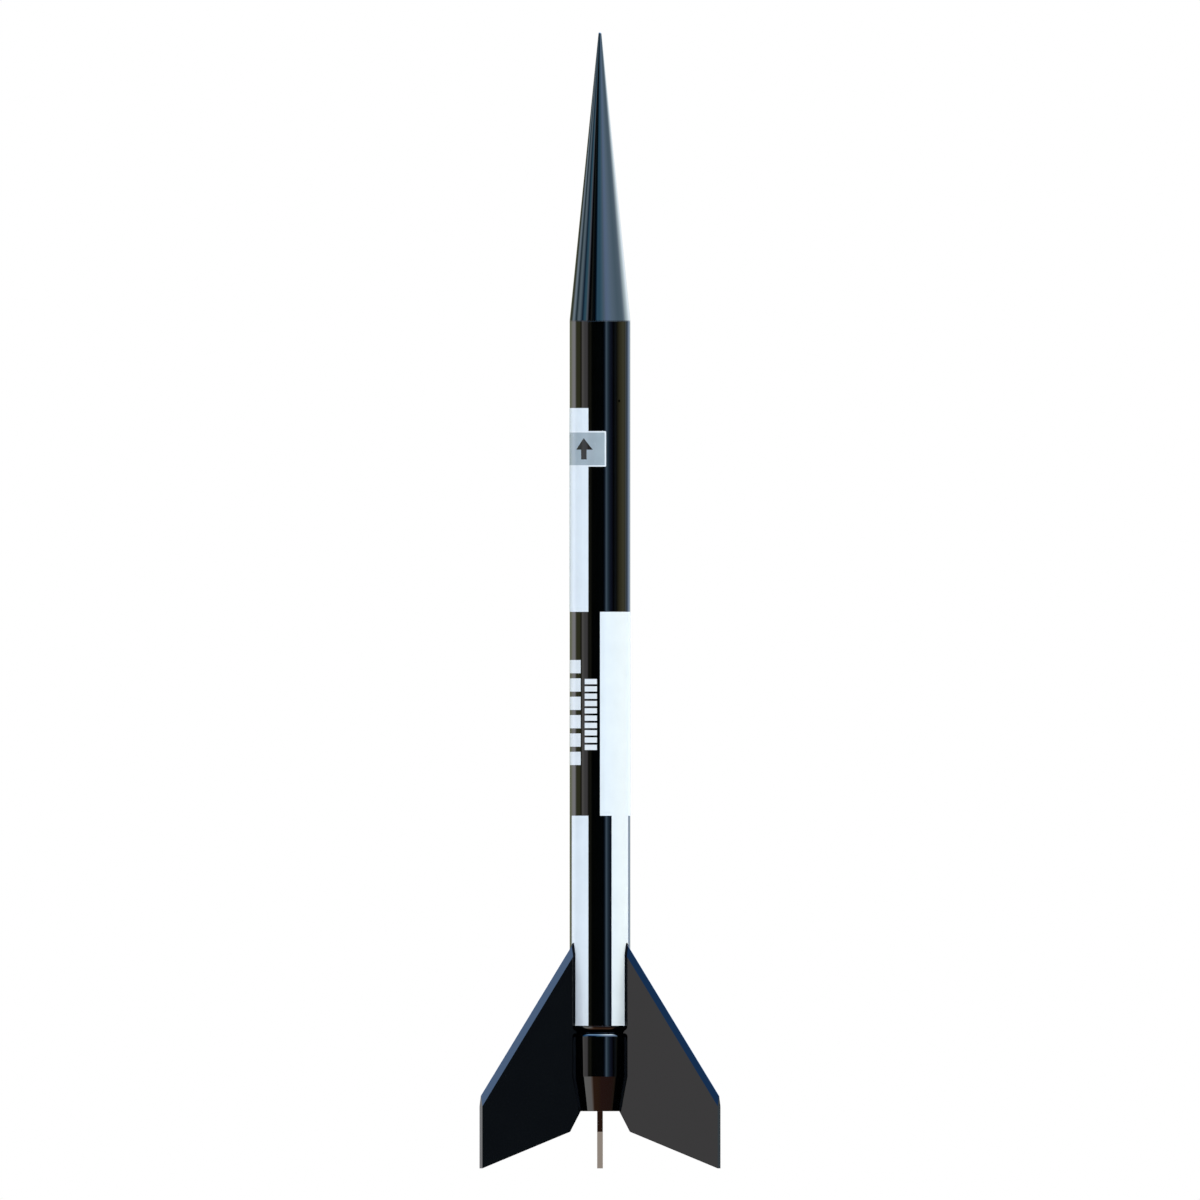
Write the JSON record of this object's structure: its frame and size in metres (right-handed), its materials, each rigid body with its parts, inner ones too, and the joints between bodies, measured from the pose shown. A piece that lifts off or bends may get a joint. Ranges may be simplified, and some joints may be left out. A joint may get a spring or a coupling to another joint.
{
  "type": "flying model rocket",
  "caption": "Tall flying model rocket with a long pointed nose, a roll-patterned tube, a boat tail and bevelled fins.",
  "frame": {"origin": "on the long axis at the aft end of the boat tail, which is the mouth of the motor bore", "axes": "+Z along the long axis towards the nose, +Y towards the rear fin, +X to the right seen from the front"},
  "size_m": [0.135, 0.1169, 0.6362],
  "materials": {
    "gloss_black_tube": "gloss",
    "gloss_black_wood": "gloss",
    "gloss_black_plastic": "gloss",
    "kraft_paper": "matte",
    "kraft_ring": "matte",
    "white_vinyl": "gloss",
    "printed_vinyl": "gloss",
    "white_print": "gloss",
    "lug_paper": "gloss",
    "anchor_paper": "matte",
    "tissue": "matte",
    "canopy_fabric": "satin",
    "plug_plastic": "satin",
    "clay": "matte"
  },
  "bodies": {
    "airframe": {"body_tube": "gloss_black_tube", "tail_cone": "gloss_black_wood", "fin_left": "gloss_black_wood", "fin_right": "gloss_black_wood", "fin_rear": "gloss_black_wood", "motor_tube": "kraft_paper", "thrust_ring": "kraft_ring", "forward_centering_ring": "kraft_ring", "aft_centering_ring": "kraft_ring", "launch_lug_forward": "lug_paper", "launch_lug_aft": "lug_paper", "shock_cord_mount": "anchor_paper", "white_band_upper": "white_vinyl", "white_band_middle": "white_vinyl", "white_stripes_lower": "white_vinyl", "emblem_decal": "printed_vinyl", "marking_decal": "white_print", "wadding": "tissue"},
    "nose": {"nose_cone": "gloss_black_plastic", "nose_base_plug": "plug_plastic", "nose_weight": "clay"},
    "recovery_pack": {"parachute": "canopy_fabric"}
  },
  "joints": [
    {"name": "nose_slide", "type": "slide", "parent": "airframe", "child": "nose", "axis": [0, 0, 1], "range_m": [0, 0.06]},
    {"name": "parachute_slide", "type": "slide", "parent": "airframe", "child": "recovery_pack", "axis": [0, 0, 1], "range_m": [0, 0.19]}
  ]
}
